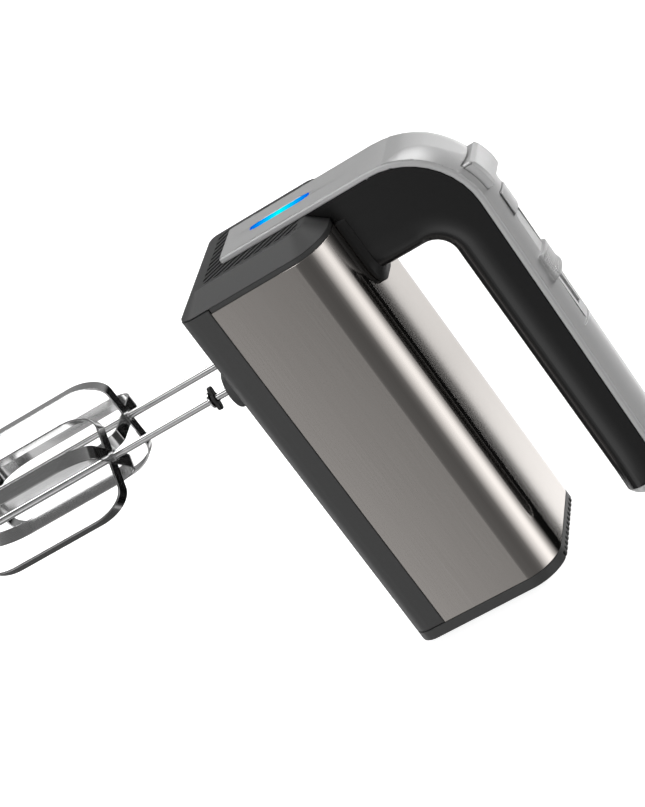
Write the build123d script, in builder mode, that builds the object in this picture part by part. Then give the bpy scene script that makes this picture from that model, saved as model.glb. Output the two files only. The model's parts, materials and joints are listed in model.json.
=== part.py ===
"""Two-beater electric hand mixer, modelled standing on its heel.

Row frame: +Z is the nose of the mixer, +X is the handle side (the beaters hang
towards -X), +Y is the mixer's right-hand side.  The origin is on the heel plane,
under the middle of the whole outline, which the turned beaters put a little to one
side of the casing's middle plane.  Every sketch below is drawn on a plane whose
own axes are the mixer's: length (rear to nose), side and height.
"""
from build123d import *
from math import cos, sin, tan, pi, radians, degrees, atan2
import os

os.makedirs("parts", exist_ok=True)

# ---------------------------------------------------------------- dimensions, mm
HEEL = 10.0              # heel plane to the rear edge of the steel skin
CENTRE = 23.9            # height datum (skin's lower edge) to the middle of the outline
MIDDLE = 2.13            # middle of the outline to the casing's middle plane
LENGTH = 190.0           # steel skin, rear to nose
HALF = 41.4              # half the body width
TOP = 64.1               # top of the steel skin above its lower edge
BOTTOM = -17.0           # underside of the base
R_TOP = 18.0
R_BOTTOM = 9.0
SKIN = 0.8               # steel thickness
WALL = 2.2               # moulded wall

NOSE = 199.7             # flat front of the nose cap
REAR = -9.2              # flat back of the rear cap

H_HALF = 16.5            # half the handle width
STRIP_X = 202.8          # front face of the handle's front leg
BAND = 3.25              # depth of the cover's side band
BEND_R = 39.3            # outer bend of the handle
BEND_X = 163.5
BEND_Z = 89.3
HANDLE_SLOPE = 0.0142    # fall of the handle towards the rear
HANDLE_END = -9.8
GRIP_LOW = 101.8         # underside of the grip
NECK_REAR = 157.5        # rear face of the neck
NECK_LOW = 66.1
CROWN = 4.5              # rise of the handle's rounded top

SPINDLE_X = 146.9        # beater axes
SPINDLE_Y = 20.17
MOTOR_Z = 16.0           # motor and worm axis

WORM_STARTS = 2
GEAR_TEETH = 32
MODULE = 1.0
GEAR_R = GEAR_TEETH * MODULE / 2
WORM_R = SPINDLE_Y - GEAR_R
LEAD = WORM_STARTS * pi * MODULE
BACKLASH = 0.34
GEAR_FACE = 8.0

BEATER_R = 26.5          # outside radius of a beater cage
CAGE_TOP = -93.0
CAGE_BOTTOM = -181.0
BAND_W = 7.0
BAND_T = 1.0
SHAFT_R = 1.9
LEFT_ANGLE = 49.0        # how the cages stand turned at rest
RIGHT_ANGLE = 1.0

EJECT_X = 173.5
TURBO_X = 153.2

CASE_SCREWS = [(13, -31), (13, 31), (178, -31), (178, 31)]
GEARBOX_SCREWS = [(127.2, -31.5), (127.2, 31.5), (167.0, -31.5), (167.0, 31.5)]
NECK_SCREWS = [(163.5, -11), (163.5, 11), (187.0, -11), (187.0, 11)]
HIND_NECK_SCREWS = NECK_SCREWS[:2]
FORE_NECK_SCREWS = NECK_SCREWS[2:]
STRIP_SCREWS = [(0, 16.5), (-9, 47), (9, 47)]
FEET = [(-24, 2), (-24, 44), (24, 2), (24, 44)]
WIRE_HOLE_X = 175.0      # opening between the neck and the body for the wires
GLAND_Z = 115.5


# ---------------------------------------------------------------- planes and helpers
def place(x, y, z):
    """Row position of a point given as length, side (left positive), height."""
    return (z + CENTRE, -y - MIDDLE, x + HEEL)


def side(y=0.0):
    return Plane(origin=place(0, y, 0), x_dir=(0, 0, 1), z_dir=(0, 1, 0))


def cross(x=0.0):
    return Plane(origin=place(x, 0, 0), x_dir=(0, -1, 0), z_dir=(0, 0, 1))


def level(z=0.0):
    return Plane(origin=place(0, 0, z), x_dir=(0, 0, 1), z_dir=(1, 0, 0))


def block(plane, cx, cy, sx, sy, depth, mode=Mode.ADD, radius=0.0):
    """Rectangular block standing on a plane."""
    with BuildSketch(plane) as s:
        with Locations((cx, cy)):
            if radius > 0:
                RectangleRounded(sx, sy, radius)
            else:
                Rectangle(sx, sy)
    extrude(s.sketch, amount=depth, mode=mode)


def disc(plane, cx, cy, radius, depth, mode=Mode.ADD):
    """Round boss or hole standing on a plane."""
    with BuildSketch(plane) as s:
        with Locations((cx, cy)):
            Circle(radius)
    extrude(s.sketch, amount=depth, mode=mode)


def ring(plane, cx, cy, outer, inner, depth, mode=Mode.ADD):
    """Plain ring standing on a plane."""
    with BuildSketch(plane) as s:
        with Locations((cx, cy)):
            Circle(outer)
            Circle(inner, mode=Mode.SUBTRACT)
    extrude(s.sketch, amount=depth, mode=mode)


def prism(plane, points, depth, mode=Mode.ADD, both=False):
    """Straight-sided prism from a list of corners."""
    with BuildSketch(plane) as s:
        with BuildLine():
            Polyline(*points, close=True)
        make_face()
    extrude(s.sketch, amount=depth, both=both, mode=mode)


def body_section(plane, w, z0, z1, r_top, r_bottom):
    """Section of the body with its own top and bottom corner radii."""
    with BuildSketch(plane) as s:
        with Locations((0, (z0 + z1) / 2)):
            Rectangle(2 * w, z1 - z0)
        if r_top > 0:
            fillet(s.vertices().group_by(Axis.Y)[-1], r_top)
        if r_bottom > 0:
            fillet(s.vertices().group_by(Axis.Y)[0], r_bottom)
    return s.sketch


def body_block(x, w, z0, z1, r_top, r_bottom, depth, mode=Mode.ADD):
    """Body section carried along the length."""
    extrude(body_section(cross(x), w, z0, z1, r_top, r_bottom), amount=depth, mode=mode)


def posts(places, z, radius, height):
    """Screw posts standing at a height."""
    for px, py in places:
        disc(level(z), px, py, radius, height)


def screw_holes(places, z, radius, depth):
    """Screw holes bored upwards from a height."""
    for px, py in places:
        disc(level(z), px, py, radius, depth, mode=Mode.SUBTRACT)


def wire_hole(z, depth):
    """Rounded opening for the wires between the neck and the body."""
    block(level(z), WIRE_HOLE_X, 0, 17, 15, depth, Mode.SUBTRACT, 3)


def screw(plane, cx, cy, head_r, head_h, shank_r, length):
    """Pan-head screw: the head stands on the plane and the shank runs up its normal."""
    disc(plane, cx, cy, head_r, head_h)
    disc(plane.offset(head_h), cx, cy, shank_r, length)
    block(plane, cx, cy, 2 * head_r * 0.72, 0.7, head_h * 0.5, mode=Mode.SUBTRACT)
    block(plane, cx, cy, 0.7, 2 * head_r * 0.72, head_h * 0.5, mode=Mode.SUBTRACT)


def run(points, radius, bend):
    """Round wire or tube along a bent path of (length, side, height) points."""
    with BuildLine() as path:
        FilletPolyline(*[place(*p) for p in points], radius=bend)
    with BuildSketch(Plane(origin=path.line @ 0, z_dir=path.line % 0)) as s:
        Circle(radius)
    sweep(s.sketch, path=path.line)


def coil(x, y, z, radius, wire, pitch, turns):
    """Helical spring whose axis points to the handle."""
    with BuildLine() as path:
        Helix(pitch=pitch, height=pitch * turns, radius=radius)
    line = path.line.moved(level(z).location * Location((x, y, 0)))
    with BuildSketch(Plane(origin=line @ 0, z_dir=line % 0)) as s:
        Circle(wire / 2)
    sweep(s.sketch, path=line, is_frenet=True)


# ---------------------------------------------------------------- handle curve
def crease_stations(count):
    """Points and directions along the handle's crease, rear to nose to strip foot."""
    top_z = BEND_Z + BEND_R
    out = []
    start_z = top_z - (BEND_X - HANDLE_END) * HANDLE_SLOPE
    out.append((HANDLE_END, start_z, degrees(atan2(HANDLE_SLOPE, 1.0))))
    for k in range(count + 1):
        a = 90.0 - 90.0 * k / count
        x = BEND_X + BEND_R * cos(radians(a))
        z = BEND_Z + BEND_R * sin(radians(a))
        out.append((x, z, a - 90.0))
    return out


def handle_plane(x, z, tilt):
    """Section plane of the handle: side to side, and outwards."""
    t = (sin(radians(tilt)), 0, cos(radians(tilt)))
    return Plane(origin=place(x, 0, z), x_dir=(0, -1, 0), z_dir=t)


def crown_at(tilt):
    """Rise of the rounded top; it dies away into the flat front strip."""
    k = min(1.0, max(0.0, (tilt + 78.0) / 66.0))
    return 0.02 + CROWN * (k * k * (3 - 2 * k))


def cover_face(x, z, tilt, half, low, high, scale):
    """One section of the handle cover."""
    rise = crown_at(tilt) * scale
    with BuildSketch(handle_plane(x, z, tilt)) as s:
        with BuildLine():
            Line((-half, low), (half, low))
            Line((half, low), (half, high))
            ThreePointArc((half, high), (0, high + rise), (-half, high))
            Line((-half, high), (-half, low))
        make_face()
    return s.sketch.face()


def cover_solid(half, low, high, scale, start, mode=Mode.ADD):
    """Handle cover block: straight rear part, bend, and flat front leg."""
    stations = crease_stations(10)
    x0, z0, t0 = stations[0]
    z0 = z0 + (start - x0) * HANDLE_SLOPE
    x1, z1, t1 = stations[1]
    faces = [cover_face(start, z0, t0, half, low, high, scale),
             cover_face(x1, z1, t0, half, low, high, scale)]
    loft(faces, ruled=True, mode=mode)
    bend = [cover_face(x, z, t, half, low, high, scale) for x, z, t in stations[1:]]
    bend[0] = cover_face(x1, z1, t0, half, low, high, scale)
    loft(bend, ruled=True, mode=mode)


def leg_block(half, low, high, foot, mode=Mode.ADD):
    """Flat front leg of the cover, from the bend down to its foot."""
    thick = high - low
    block(level(foot), STRIP_X + low + thick / 2, 0, thick, 2 * half,
          BEND_Z - foot + 0.02, mode=mode)


# ================================================================ BODY SHELLS
with BuildPart() as steel_wrap:
    body_block(0, HALF, 0, TOP, R_TOP, 0, LENGTH)
    body_block(-1, HALF - SKIN, -1, TOP - SKIN, R_TOP - SKIN, 0, LENGTH + 2, Mode.SUBTRACT)
    wire_hole(TOP - 5, 10)
    screw_holes(NECK_SCREWS, TOP - 5, 1.9, 10)
steel_wrap.part.label = "steel_wrap"

with BuildPart() as upper_housing:
    body_block(1, HALF - 0.9, 0, TOP - 0.9, R_TOP - 0.9, 0, 184.2)
    body_block(0, HALF - 2.9, -1, TOP - 2.9, R_TOP - 2.9, 0, 190, Mode.SUBTRACT)
    posts(CASE_SCREWS, -6, 3.7, 63.5)
    posts(HIND_NECK_SCREWS, 55, 3.6, 7.0)
    wire_hole(50, 20)
    screw_holes(CASE_SCREWS, -7, 1.5, 25)
    screw_holes(HIND_NECK_SCREWS, 50, 1.9, 20)
upper_housing.part.label = "upper_housing"

with BuildPart() as base_housing:
    body_block(0.2, HALF, BOTTOM, -0.2, 0, R_BOTTOM, 191.9)
    body_block(2.6, HALF - 2.4, BOTTOM + 2.4, 5, 0, R_BOTTOM - 2.4, 187.1, Mode.SUBTRACT)
    for sy in (-SPINDLE_Y, SPINDLE_Y):
        disc(level(-22.5), SPINDLE_X, sy, 10.2, 15.0)
    posts(GEARBOX_SCREWS, -15, 3.8, 41.9)
    posts(CASE_SCREWS, -15, 4.6, 8.9)
    for rx in (60, 78):
        block(level(-15), rx + 2, 0, 4, 40, 7.9)
    block(level(-15), 23, 0, 9, 44, 4.0)
    block(level(-15), 114.5, 0, 9, 44, 4.0)
    for sy in (-SPINDLE_Y, SPINDLE_Y):
        disc(level(-23), SPINDLE_X, sy, 5.2, 20, Mode.SUBTRACT)
        disc(level(-17), SPINDLE_X, sy, 6.6, 20, Mode.SUBTRACT)
    screw_holes(GEARBOX_SCREWS, 5, 1.3, 30)
    screw_holes(CASE_SCREWS, -18, 1.9, 20)
    screw_holes(CASE_SCREWS, -18, 3.6, 6.0)
base_housing.part.label = "base_housing"

# Nose cap: chamfered facets round a flat front with slanting vent slots.
SLOT_STEP = 3.96
with BuildPart() as front_cap:
    loft([body_section(cross(192.5), HALF, BOTTOM, TOP, R_TOP, R_BOTTOM).face(),
          body_section(cross(NOSE), 30.0, -7.0, 55.0, 7.5, 5.0).face()], ruled=True)
    loft([body_section(cross(192.4), HALF - 2.4, BOTTOM + 2.4, TOP - 2.4,
                       R_TOP - 2.4, R_BOTTOM - 2.4).face(),
          body_section(cross(NOSE - 2.4), 28.4, -5.4, 53.4, 6.0, 4.0).face()],
         ruled=True, mode=Mode.SUBTRACT)
    body_block(190.1, HALF - 0.9, 0.2, TOP - 0.9, R_TOP - 0.9, 0, 2.6)
    body_block(185.8, HALF - 0.95, 0.4, TOP - 0.95, R_TOP - 0.95, 0, 4.6)
    body_block(184, HALF - 2.9, -18, TOP - 2.9, R_TOP - 2.9, 0, 8.6, Mode.SUBTRACT)
    block(level(-19), 190, 0, 4.9, 90, 19.0, Mode.SUBTRACT)
    with BuildSketch(cross(190)) as vents:
        for k in range(-7, 15):
            with Locations((0.7071 * SLOT_STEP * k, 0.7071 * SLOT_STEP * k)):
                Rectangle(140, 2.2, rotation=135)
        with Locations((0, 25.2)):
            Rectangle(54, 52.4, mode=Mode.INTERSECT)
        with Locations((0, 35.0)):
            Rectangle(29, 55, mode=Mode.SUBTRACT)
    extrude(vents.sketch, amount=12, mode=Mode.SUBTRACT)
    block(cross(NOSE - 0.95), 0, 38.2, 12.6, 30.6, 3, Mode.SUBTRACT)
    for by, bz in STRIP_SCREWS:
        disc(cross(190), by, bz, 1.5, 12, Mode.SUBTRACT)
    screw_holes(FORE_NECK_SCREWS, 55, 1.9, 10)
front_cap.part.label = "front_cap"

# Rear cap: same section, chamfered, with a row of slots along its top edge.
with BuildPart() as rear_cap:
    body_block(-5.5, HALF, BOTTOM, TOP, R_TOP, R_BOTTOM, 5.3)
    loft([body_section(cross(REAR), HALF - 8, BOTTOM + 8, TOP - 8, 11, 5).face(),
          body_section(cross(-5.5), HALF, BOTTOM, TOP, R_TOP, R_BOTTOM).face()], ruled=True)
    body_block(-5.0, HALF - 2.4, BOTTOM + 2.4, TOP - 2.4, R_TOP - 2.4,
               R_BOTTOM - 2.4, 6, Mode.SUBTRACT)
    loft([body_section(cross(REAR + 2.2), HALF - 10, BOTTOM + 10, TOP - 10, 9.5, 4).face(),
          body_section(cross(-4.9), HALF - 2.4, BOTTOM + 2.4, TOP - 2.4,
                       R_TOP - 2.4, R_BOTTOM - 2.4).face()], ruled=True, mode=Mode.SUBTRACT)
    for k in range(13):
        block(cross(-12), -27 + 4.5 * k, 61, 1.8, 8.4, 9.2, Mode.SUBTRACT)
    for fy, fz in FEET:
        disc(cross(REAR - 1), fy, fz, 5.6, 1.8, Mode.SUBTRACT)
rear_cap.part.label = "rear_cap"

with BuildPart() as heel_feet:
    for fy, fz in FEET:
        disc(cross(-HEEL), fy, fz, 5.4, 1.5)
heel_feet.part.label = "heel_feet"

# ================================================================ HANDLE
def grip_profile(plane, inset, top_gap, low, foot):
    """Side outline of the grip and neck; the outer edge follows the handle's crease."""
    out = BAND - top_gap
    r = BEND_R - out
    top_z = BEND_Z + r
    rear = HANDLE_END + 13.3 + inset
    rear_z = top_z - (BEND_X - rear) * HANDLE_SLOPE
    neck = NECK_REAR + inset
    corner = 10.5 + inset
    with BuildSketch(plane) as s:
        with BuildLine():
            Line((rear, low), (rear, rear_z))
            Line((rear, rear_z), (BEND_X, top_z))
            ThreePointArc((BEND_X, top_z),
                          (BEND_X + r * cos(pi / 4), BEND_Z + r * sin(pi / 4)),
                          (BEND_X + r, BEND_Z))
            if inset > 0:
                Polyline((BEND_X + r, BEND_Z), (BEND_X + r, foot), (neck, foot),
                         (neck, low - corner))
            else:
                Polyline((BEND_X + r, BEND_Z), (BEND_X + r, 55.9), (193.0, 64.3),
                         (190.3, 64.3), (190.3, NECK_LOW), (neck, NECK_LOW),
                         (neck, low - corner))
            ThreePointArc((neck, low - corner),
                          (neck - corner + corner * cos(pi / 4),
                           low - corner + corner * sin(pi / 4)),
                          (neck - corner, low))
            Line((neck - corner, low), (rear, low))
        make_face()
    return s.sketch


def on_grip_underside(edge):
    """Edges where the sides of the grip meet its underside and the neck's rear."""
    c = edge.center()
    height = c.X - CENTRE
    along = c.Z - HEEL
    if abs(abs(c.Y + MIDDLE) - H_HALF) > 0.01:
        return False
    under = abs(height - GRIP_LOW) < 3.5 and along < NECK_REAR + 7.5
    behind = along < NECK_REAR + 0.5 and NECK_LOW + 1 < height < 101
    return under or behind


with BuildPart() as handle_grip:
    extrude(grip_profile(side(), 0.0, 0.0, GRIP_LOW, NECK_LOW), amount=H_HALF, both=True)
    fillet([e for e in handle_grip.edges() if on_grip_underside(e)], 8.5)
    extrude(grip_profile(side(), 2.4, 1.5, GRIP_LOW + 2.4, NECK_LOW + 3.0),
            amount=H_HALF - 2.4, both=True, mode=Mode.SUBTRACT)
    posts(NECK_SCREWS, NECK_LOW, 3.4, 12)
    screw_holes(NECK_SCREWS, NECK_LOW - 4, 1.5, 13)
    wire_hole(60, 12)
    for bx in (40, 120):
        block(level(GRIP_LOW + 2), bx, 0, 5, 26, 8.4)
    block(level(105), 66, 0, 170, 20, 30, Mode.SUBTRACT)
handle_grip.part.label = "handle_grip"

with BuildPart() as neck_gasket:
    with BuildSketch(level(TOP + 0.1)) as g:
        with Locations((171.9, 0)):
            Rectangle(36.4, 34.8)
        fillet(g.vertices().group_by(Axis.X)[0], 13.0)
        fillet(g.vertices().group_by(Axis.X)[-1], 2.0)
    extrude(g.sketch, amount=1.9)
    wire_hole(TOP - 1, 10)
    screw_holes(NECK_SCREWS, TOP - 1, 1.9, 10)
neck_gasket.part.label = "neck_gasket"

SLIDER_X = 118.0
INSET_REAR = 85.0        # groove that closes the control inset
CROWN_R = (H_HALF ** 2 + CROWN ** 2) / (2 * CROWN)


def arc_plate(x, centre_z, r_in, r_out, half, depth, mode=Mode.ADD):
    """Curved plate that follows the handle's crown."""
    with BuildSketch(cross(x)) as s:
        with Locations((0, centre_z)):
            Circle(r_out)
            Circle(r_in, mode=Mode.SUBTRACT)
        with Locations((0, centre_z + r_out)):
            Rectangle(2 * half, 14, mode=Mode.INTERSECT)
    extrude(s.sketch, amount=depth, mode=mode)


with BuildPart() as handle_top_cover:
    cover_solid(H_HALF, -BAND + 0.2, 0.0, 1.0, 3.6)
    leg_block(H_HALF, -BAND + 0.15, 0.0, 8.5)
    foot_edges = handle_top_cover.faces().sort_by(Axis.X)[0].edges().filter_by(Axis.Z)
    fillet(foot_edges, 1.2)
    cover_solid(H_HALF - 2.4, -BAND - 1, -2.2, 0.85, 6.0, Mode.SUBTRACT)
    leg_block(12.0, -BAND - 1, -1.3, 12.0, Mode.SUBTRACT)
    for by, bz in STRIP_SCREWS:
        disc(cross(NOSE + 0.05), by, bz, 2.6, 2.2)
        disc(cross(195), by, bz, 1.2, 6.4, Mode.SUBTRACT)
    block(level(110), EJECT_X, 0, 15.9, 24.7, 40, Mode.SUBTRACT, 0.6)
    block(level(110), TURBO_X, 0, 13.2, 13.6, 40, Mode.SUBTRACT, 0.8)
    block(level(131.3), 116, 0, 60, 11.0, 6, Mode.SUBTRACT, 2.5)
    block(level(110), 109, 0, 36, 7.0, 40, Mode.SUBTRACT, 1.5)
    crown_top = BEND_Z + BEND_R - (BEND_X - INSET_REAR) * HANDLE_SLOPE + CROWN
    arc_plate(INSET_REAR, crown_top - CROWN_R, CROWN_R - 0.8, CROWN_R + 2.0, 9.2, 1.4,
              Mode.SUBTRACT)
    with BuildSketch(cross(195)) as w:
        with BuildLine():
            Polyline((-3.5, 28.5), (-1.4, 23.3), (1.4, 23.3), (3.5, 28.5),
                     (3.5, 51.5), (1.4, 56.7), (-1.4, 56.7), (-3.5, 51.5), close=True)
        make_face()
    extrude(w.sketch, amount=12, mode=Mode.SUBTRACT)
handle_top_cover.part.label = "handle_top_cover"

# Slanted end of the handle with the opening for the supply-cord gland.
END_Z = BEND_Z + BEND_R - (BEND_X + 3.0) * HANDLE_SLOPE
with BuildPart() as handle_end_cap:
    with BuildSketch(cross(-9.5)) as sec:
        with BuildLine():
            Line((-H_HALF, GRIP_LOW + 8.5), (-H_HALF, END_Z))
            ThreePointArc((-H_HALF, END_Z), (0, END_Z + CROWN), (H_HALF, END_Z))
            Line((H_HALF, END_Z), (H_HALF, GRIP_LOW + 8.5))
            RadiusArc((H_HALF, GRIP_LOW + 8.5), (H_HALF - 8.5, GRIP_LOW), 8.5)
            Line((H_HALF - 8.5, GRIP_LOW), (-H_HALF + 8.5, GRIP_LOW))
            RadiusArc((-H_HALF + 8.5, GRIP_LOW), (-H_HALF, GRIP_LOW + 8.5), 8.5)
        make_face()
    extrude(sec.sketch, amount=12.8)
    prism(side(), [(3.1, 98), (3.1, 101.9), (-4.9, 121), (-8.6, 129.2), (-6.4, 131.2),
                   (-6, 140), (-20, 140), (-20, 98)], 30, Mode.SUBTRACT, both=True)
    prism(side(), [(3.6, 107.0), (-2.5, 121), (-5.3, 127.2), (3.6, 127.2)], 13.6,
          Mode.SUBTRACT, both=True)
    disc(cross(-12), 0, GLAND_Z, 5.7, 20, Mode.SUBTRACT)
handle_end_cap.part.label = "handle_end_cap"

with BuildPart() as cord_gland:
    ring(cross(-1.6), 0, GLAND_Z, 5.6, 3.5, 9.6)
    ring(cross(3.5), 0, GLAND_Z, 7.4, 5.0, 1.6)
    ring(cross(6.2), 0, GLAND_Z, 7.0, 5.0, 1.8)
cord_gland.part.label = "cord_gland"

# ================================================================ LIGHT AND CONTROLS
with BuildPart() as led_light_bar:
    block(cross(200.35), 0, 40, 9.6, 36.4, 1.05)
    prism(cross(201.4), [(-3.4, 28.5), (-1.3, 23.45), (1.3, 23.45), (3.4, 28.5),
                         (3.4, 51.5), (1.3, 56.55), (-1.3, 56.55), (-3.4, 51.5)], 1.38)
led_light_bar.part.label = "led_light_bar"

with BuildPart() as led_board:
    block(cross(NOSE - 0.9), 0, 38.2, 12.0, 30.0, 1.05)
    for k in range(5):
        block(cross(NOSE + 0.15), 0, 28.0 + 5.1 * k, 2.8, 2.2, 0.4)
led_board.part.label = "led_board"

with BuildPart() as eject_button:
    prism(side(), [(165.9, 115.4), (165.9, 135.7), (180.9, 131.0), (180.9, 115.4)],
          12.0, both=True)
    top_face = eject_button.faces().sort_by(Axis.X)[-1]
    chamfer(top_face.edges(), length=1.3)
    block(level(112.4), EJECT_X, 0, 18.6, 26.2, 3.0)
    block(level(110), EJECT_X, 0, 11.6, 20.6, 17.5, Mode.SUBTRACT, 1.0)
eject_button.part.label = "eject_button"

with BuildPart() as ejector_rod:
    block(level(47.1), EJECT_X, 0, 6, 5, 80.2)
    block(level(112.4), EJECT_X, 0, 11.4, 5, 3.0)
    disc(level(84), EJECT_X, 0, 6.8, 2.0)
ejector_rod.part.label = "ejector_rod"

with BuildPart() as eject_spring:
    coil(EJECT_X, 0, 73.9, 5.5, 0.8, 1.9, 5)
eject_spring.part.label = "eject_spring"

with BuildPart() as ejector_yoke:
    block(level(43.2), 160.0, 0, 34, 12, 3.8, radius=3)
    block(level(43.2), SPINDLE_X, 0, 9, 49, 3.8, radius=4)
ejector_yoke.part.label = "ejector_yoke"

with BuildPart() as turbo_button:
    with BuildSketch(cross(147.0)) as t:
        with BuildLine():
            Polyline((6.4, 133.3), (6.4, 121), (-6.4, 121), (-6.4, 133.3))
            ThreePointArc((-6.4, 133.3), (0, 133.95), (6.4, 133.3))
        make_face()
    extrude(t.sketch, amount=12.4)
    fillet(turbo_button.faces().sort_by(Axis.X)[-1].edges(), 0.6)
    block(level(120.6), TURBO_X, 0, 14.6, 15.0, 2.0)
    disc(level(120), TURBO_X, 0, 4.2, 6.2, Mode.SUBTRACT)
turbo_button.part.label = "turbo_button"

with BuildPart() as turbo_spring:
    coil(TURBO_X, 0, 121.0, 3.3, 0.6, 1.5, 3)
turbo_spring.part.label = "turbo_spring"

with BuildPart() as turbo_switch:
    block(level(114.0), TURBO_X, 0, 10, 8, 4.3, radius=0.6)
    disc(level(118.3), TURBO_X, 0, 1.3, 0.8)
turbo_switch.part.label = "turbo_switch"

SLIDER_TOP = BEND_Z + BEND_R - (BEND_X - SLIDER_X) * HANDLE_SLOPE + CROWN
with BuildPart() as speed_slider:
    arc_plate(SLIDER_X - 7, SLIDER_TOP - CROWN_R, CROWN_R + 0.4, CROWN_R + 1.7, 9.6, 14)
    for k in range(6):
        arc_plate(SLIDER_X - 6.8 + 2.52 * k, SLIDER_TOP - CROWN_R,
                  CROWN_R + 1.5, CROWN_R + 2.4, 9.2, 1.1)
    block(level(121.2), SLIDER_X, 0, 6, 2.8, 12.4)
speed_slider.part.label = "speed_slider"

with BuildPart() as slider_track:
    block(level(131.35), 116, 0, 59.4, 10.4, 0.5, radius=2.2)
    block(level(129.9), 109, 0, 35.4, 6.4, 1.5, radius=1.2)
    block(level(125), 109, 0, 32.0, 3.2, 10, Mode.SUBTRACT)
slider_track.part.label = "slider_track"

with BuildPart() as speed_switch:
    block(level(114.0), 109, 0, 38, 10, 6.6, radius=0.8)
    block(level(119.4), 109, 0, 32, 3.4, 3, Mode.SUBTRACT)
speed_switch.part.label = "speed_switch"

with BuildPart() as control_board:
    block(level(112.3), 119, 0, 82, 25, 1.6, radius=1)
    block(level(113.9), 86, 6, 8, 6, 6)
    disc(level(113.9), 84.5, -6, 3.2, 7)
    disc(level(113.9), 136, 7.5, 2.4, 6)
    block(level(113.9), 136, -7, 7, 5, 4)
control_board.part.label = "control_board"

# ================================================================ GEAR TRAIN
def gear_section(phase):
    """Transverse section of a gear with straight-flanked teeth."""
    half_pitch = (pi * MODULE / 2 - BACKLASH) / 2
    tip = GEAR_R + 0.85
    root = GEAR_R - 1.3
    points = []
    for k in range(GEAR_TEETH):
        c = 2 * pi * k / GEAR_TEETH + phase
        for r, sign in ((root, -1), (tip, -1), (tip, 1), (root, 1)):
            half = half_pitch + (GEAR_R - r) * tan(radians(20))
            a = c + sign * half / r
            points.append((r * cos(a), r * sin(a)))
    return points


def gear(name_y, phase, twist):
    """Helical gear with a long hub, bored for its spindle."""
    with BuildSketch(level(MOTOR_Z - GEAR_FACE / 2)) as s:
        with Locations((SPINDLE_X, name_y)):
            with BuildLine():
                Polyline(*[(SPINDLE_X + px, name_y + py) for px, py in gear_section(phase)],
                         close=True)
            make_face()
    turned = Solid.extrude_linear_with_rotation(
        s.sketch.face(), place(SPINDLE_X, name_y, MOTOR_Z - GEAR_FACE / 2),
        Vector(1, 0, 0) * GEAR_FACE, twist)
    add(turned)
    disc(level(-7.2), SPINDLE_X, name_y, 7.2, 33.9)
    disc(level(-10), SPINDLE_X, name_y, 4.62, 50, Mode.SUBTRACT)


HELIX = degrees(GEAR_FACE * (LEAD / (2 * pi * WORM_R)) / GEAR_R)
LEFT_PHASE = radians(8.1)      # turns each gear so that the worm's threads sit mid-gap
RIGHT_PHASE = radians(7.4)
with BuildPart() as gear_left:
    gear(SPINDLE_Y, LEFT_PHASE, HELIX)
gear_left.part.label = "gear_left"

with BuildPart() as gear_right:
    gear(-SPINDLE_Y, RIGHT_PHASE, HELIX)
gear_right.part.label = "gear_right"


def worm_section():
    """Transverse section of the two-start thread."""
    half_pitch = (pi * MODULE / 2 - BACKLASH) / 2
    root = WORM_R - 1.2
    tip = WORM_R + 0.85
    points = []
    for start in range(WORM_STARTS):
        centre = 2 * pi * start / WORM_STARTS
        flank = []
        for k in range(5):
            r = root + (tip - root) * k / 4
            half = half_pitch + (WORM_R - r) * tan(radians(20))
            flank.append((r, half * 2 * pi / LEAD))
        for r, a in flank:
            points.append((r * cos(centre - a), r * sin(centre - a)))
        for r, a in reversed(flank):
            points.append((r * cos(centre + a), r * sin(centre + a)))
        gap = pi - 2 * flank[0][1]
        for k in (1, 2):
            a = centre + flank[0][1] + gap * k / 3
            points.append((root * cos(a), root * sin(a)))
    return points


WORM_X0 = 136.0
WORM_LEN = 22.0
with BuildPart() as armature_shaft:
    disc(cross(16.2), 0, MOTOR_Z, 2.5, 155.2)
    with BuildSketch(cross(WORM_X0)) as w:
        with BuildLine():
            Polyline(*[(a, MOTOR_Z + b) for a, b in worm_section()], close=True)
        make_face()
    thread = Solid.extrude_linear_with_rotation(
        w.sketch.face(), place(WORM_X0, 0, MOTOR_Z), Vector(0, 0, 1) * WORM_LEN,
        360.0 * WORM_LEN / LEAD)
    add(thread)
armature_shaft.part.label = "armature_shaft"


def spindle(sy):
    """Hollow spindle with a cross slot that drives the beater's lugs."""
    disc(level(-20), SPINDLE_X, sy, 4.6, 55)
    disc(level(-25), SPINDLE_X, sy, SHAFT_R + 0.08, 70, Mode.SUBTRACT)
    block(level(-22), SPINDLE_X, sy, 10, 1.7, 11, Mode.SUBTRACT)


with BuildPart() as spindle_left:
    spindle(SPINDLE_Y)
spindle_left.part.label = "spindle_left"

with BuildPart() as spindle_right:
    spindle(-SPINDLE_Y)
spindle_right.part.label = "spindle_right"


def eject_pin(sy):
    disc(level(10.1), SPINDLE_X, sy, 1.75, 32)
    disc(level(40.6), SPINDLE_X, sy, 3.6, 2.4)


with BuildPart() as ejector_pin_left:
    eject_pin(SPINDLE_Y)
ejector_pin_left.part.label = "ejector_pin_left"

with BuildPart() as ejector_pin_right:
    eject_pin(-SPINDLE_Y)
ejector_pin_right.part.label = "ejector_pin_right"

with BuildPart() as spindle_bushes:
    for sy in (-SPINDLE_Y, SPINDLE_Y):
        ring(level(-16.9), SPINDLE_X, sy, 6.55, 4.65, 9.3)
        ring(level(27.3), SPINDLE_X, sy, 6.55, 4.65, 7.3)
spindle_bushes.part.label = "spindle_bushes"

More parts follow.
